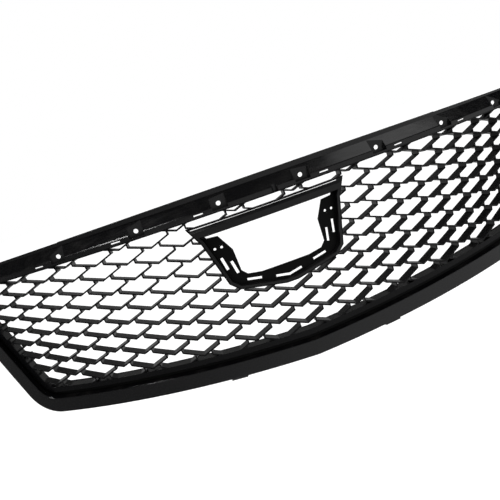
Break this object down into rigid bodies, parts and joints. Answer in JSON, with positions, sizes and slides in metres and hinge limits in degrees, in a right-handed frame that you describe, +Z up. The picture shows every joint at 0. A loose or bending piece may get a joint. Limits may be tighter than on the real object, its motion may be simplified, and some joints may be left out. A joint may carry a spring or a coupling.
{
  "type": "vehicle front grille",
  "caption": "Bowed black front grille: a lattice of V-bottomed cells in a U-shaped gloss surround, under a fixing rail, with a plain shield-shaped emblem seat.",
  "frame": {"origin": "midway between the two inner fixing holes of the upper rail, on the faces of their seats", "axes": "+X to the right seen from in front of the grille, -Y out of the face, +Z up"},
  "size_m": [1.027, 0.2652, 0.2476],
  "materials": {
    "gloss_trim": "high gloss black moulded ABS",
    "rail_plastic": "semi gloss black moulded ABS",
    "mesh_plastic": "gloss black moulded ABS",
    "frame_plastic": "satin black moulded ABS",
    "emblem_plastic": "gloss black moulded ABS",
    "carrier_plastic": "fine grained black ABS",
    "screw_steel": "zinc plated steel, black passivated",
    "clip_plastic": "black acetal"
  },
  "bodies": {
    "root": {"upper_rail": "rail_plastic", "mesh_panel": "mesh_plastic", "inner_frame": "frame_plastic", "surround_moulding": "gloss_trim", "emblem_top_bar": "emblem_plastic", "emblem_bezel": "emblem_plastic", "emblem_carrier": "carrier_plastic", "rail_screws": "screw_steel", "surround_screws": "screw_steel", "frame_screws": "screw_steel", "emblem_screws": "screw_steel", "lower_clips": "clip_plastic"}
  },
  "joints": []
}
